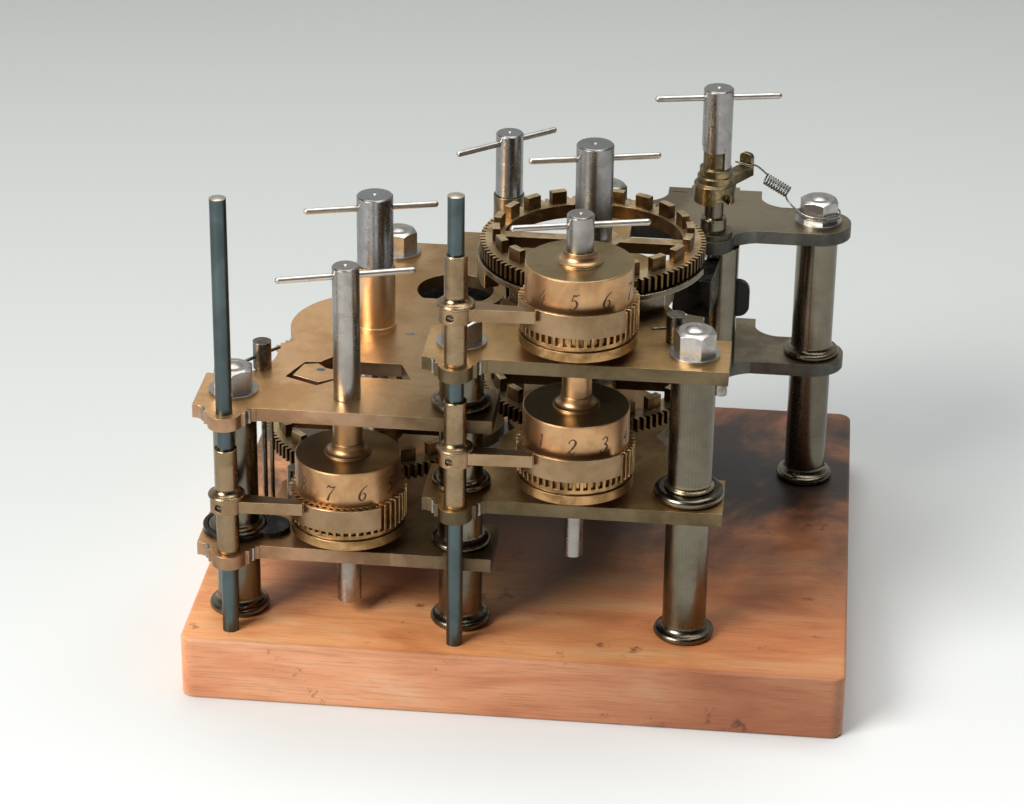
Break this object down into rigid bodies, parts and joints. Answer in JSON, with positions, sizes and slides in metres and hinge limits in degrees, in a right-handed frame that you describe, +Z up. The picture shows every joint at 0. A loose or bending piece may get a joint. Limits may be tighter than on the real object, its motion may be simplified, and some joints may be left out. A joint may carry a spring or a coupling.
{
  "type": "difference engine",
  "caption": "Difference engine fragment: brass figure wheels, ring gears and T-handled steel spindles between plates on columns, standing on a wooden board.",
  "frame": {"origin": "centre of the underside of the wooden board", "axes": "+X along the front of the board to the right, +Y from the front of the board to the back, +Z up along the columns and spindles"},
  "size_m": [0.38, 0.345, 0.3142],
  "materials": {
    "board_wood": "worn varnished mahogany",
    "plate_brass": "aged, brushed",
    "column_brass": "dark, polished edges",
    "tube_brass": "bright, turned",
    "gear_brass": "aged, cut teeth",
    "drum_brass": "pale lacquered, engraved numbers",
    "arm_brass": "dull satin",
    "spindle_steel": "turned, grey",
    "bright_steel": "bright, worn",
    "rod_steel": "dark blue-grey, polished",
    "black_steel": "blackened, oily gloss"
  },
  "bodies": {
    "frame": {"base_board": "board_wood", "column_feet": "column_brass", "column_lengths": "column_brass", "seat_disc": "column_brass", "column_studs": "bright_steel", "washers": "plate_brass", "nuts": "bright_steel", "plate_a_lower": "plate_brass", "plate_a_upper": "plate_brass", "plate_b_lower": "plate_brass", "plate_b_upper": "plate_brass", "plate_c_lower": "plate_brass", "plate_c_upper": "plate_brass", "plate_d_lower": "plate_brass", "plate_d_upper": "plate_brass", "small_pins": "bright_steel", "latch_block": "plate_brass", "frame_screws": "bright_steel", "bearing_tube_2": "tube_brass", "bearing_tube_3": "tube_brass", "guide_posts": "column_brass", "black_plates": "black_steel", "ring_rail": "column_brass", "lug_post_and_collar": "column_brass", "column_flag": "black_steel"},
    "rod_left": {"rod_left": "rod_steel", "tube_left": "arm_brass", "arm_left": "arm_brass", "clamp_left": "bright_steel"},
    "rod_middle": {"rod_middle": "rod_steel", "tubes_middle": "arm_brass", "arms_middle": "arm_brass", "clamps_middle": "bright_steel"},
    "axis_a": {"spindle_a": "spindle_steel", "bar_a": "bright_steel", "drum_a": "drum_brass", "toothed_wheel_a": "gear_brass"},
    "axis_u": {"spindle_u": "spindle_steel", "bar_u": "bright_steel", "drum_u": "drum_brass", "toothed_wheel_u": "gear_brass"},
    "axis_l": {"arbor_l": "spindle_steel", "drum_l": "drum_brass", "toothed_wheel_l": "gear_brass"},
    "axis_2": {"spindle_2": "spindle_steel", "bar_2": "bright_steel", "ring_gear_a": "gear_brass"},
    "axis_4": {"spindle_4": "spindle_steel", "bar_4": "bright_steel", "ring_gears_b": "gear_brass"},
    "axis_3": {"spindle_3": "spindle_steel", "bar_3": "bright_steel", "carry_fingers": "gear_brass"},
    "axis_6": {"spindle_6": "spindle_steel", "bar_6": "bright_steel"},
    "lever": {"lever": "arm_brass"},
    "spring": {"spring": "bright_steel"},
    "lock_a": {"lock_post_a": "bright_steel"},
    "lock_b": {"lock_post_b": "bright_steel"},
    "carry": {"carry_sector": "gear_brass"}
  },
  "joints": [
    {"name": "axis_a_turn", "type": "hinge", "parent": "frame", "child": "axis_a", "pos_m": [-0.09765, -0.1285, 0], "axis": [0, 0, 1], "continuous": true},
    {"name": "axis_u_turn", "type": "hinge", "parent": "frame", "child": "axis_u", "pos_m": [0.03165, -0.1285, 0], "axis": [0, 0, 1], "continuous": true},
    {"name": "axis_l_turn", "type": "hinge", "parent": "frame", "child": "axis_l", "pos_m": [0.03165, -0.1285, 0], "axis": [0, 0, 1], "continuous": true},
    {"name": "axis_2_turn", "type": "hinge", "parent": "frame", "child": "axis_2", "pos_m": [-0.09545, -0.0315, 0], "axis": [0, 0, 1], "continuous": true},
    {"name": "axis_4_turn", "type": "hinge", "parent": "frame", "child": "axis_4", "pos_m": [0.03165, -0.0315, 0], "axis": [0, 0, 1], "continuous": true},
    {"name": "axis_3_turn", "type": "hinge", "parent": "frame", "child": "axis_3", "pos_m": [-0.029, 0.082, 0], "axis": [0, 0, 1], "continuous": true},
    {"name": "axis_6_turn", "type": "hinge", "parent": "frame", "child": "axis_6", "pos_m": [0.098, 0.051, 0], "axis": [0, 0, 1], "continuous": true},
    {"name": "rod_left_turn", "type": "hinge", "parent": "frame", "child": "rod_left", "pos_m": [-0.1623, -0.157, 0], "axis": [0, 0, 1], "range_deg": [-40, 0]},
    {"name": "rod_middle_turn", "type": "hinge", "parent": "frame", "child": "rod_middle", "pos_m": [-0.033, -0.157, 0], "axis": [0, 0, 1], "range_deg": [-40, 0]},
    {"name": "lever_turn", "type": "hinge", "parent": "frame", "child": "lever", "pos_m": [0.098, 0.051, 0], "axis": [0, 0, 1], "range_deg": [-2, 2], "stiffness_Nm_per_rad": 0.2},
    {"name": "spring_turn", "type": "hinge", "parent": "frame", "child": "spring", "pos_m": [0.16095, 0.0804, 0], "axis": [0, 0, 1], "range_deg": [-0.95, 0.95]},
    {"name": "lock_a_turn", "type": "hinge", "parent": "frame", "child": "lock_a", "pos_m": [-0.1515, -0.0965, 0], "axis": [0, 0, 1], "range_deg": [-90, 90]},
    {"name": "lock_b_turn", "type": "hinge", "parent": "frame", "child": "lock_b", "pos_m": [0.0845, -0.112, 0], "axis": [0, 0, 1], "range_deg": [-25, 65]},
    {"name": "carry_turn", "type": "hinge", "parent": "frame", "child": "carry", "pos_m": [-0.09865, -0.107, 0], "axis": [0, 0, 1], "range_deg": [-4, 4]}
  ],
  "couplings": [
    {"joint": "axis_a_turn", "follows": "axis_2_turn", "ratio": -2},
    {"joint": "axis_u_turn", "follows": "axis_4_turn", "ratio": -2},
    {"joint": "axis_l_turn", "follows": "axis_4_turn", "ratio": -2},
    {"joint": "spring_turn", "follows": "lever_turn", "ratio": -0.45}
  ]
}
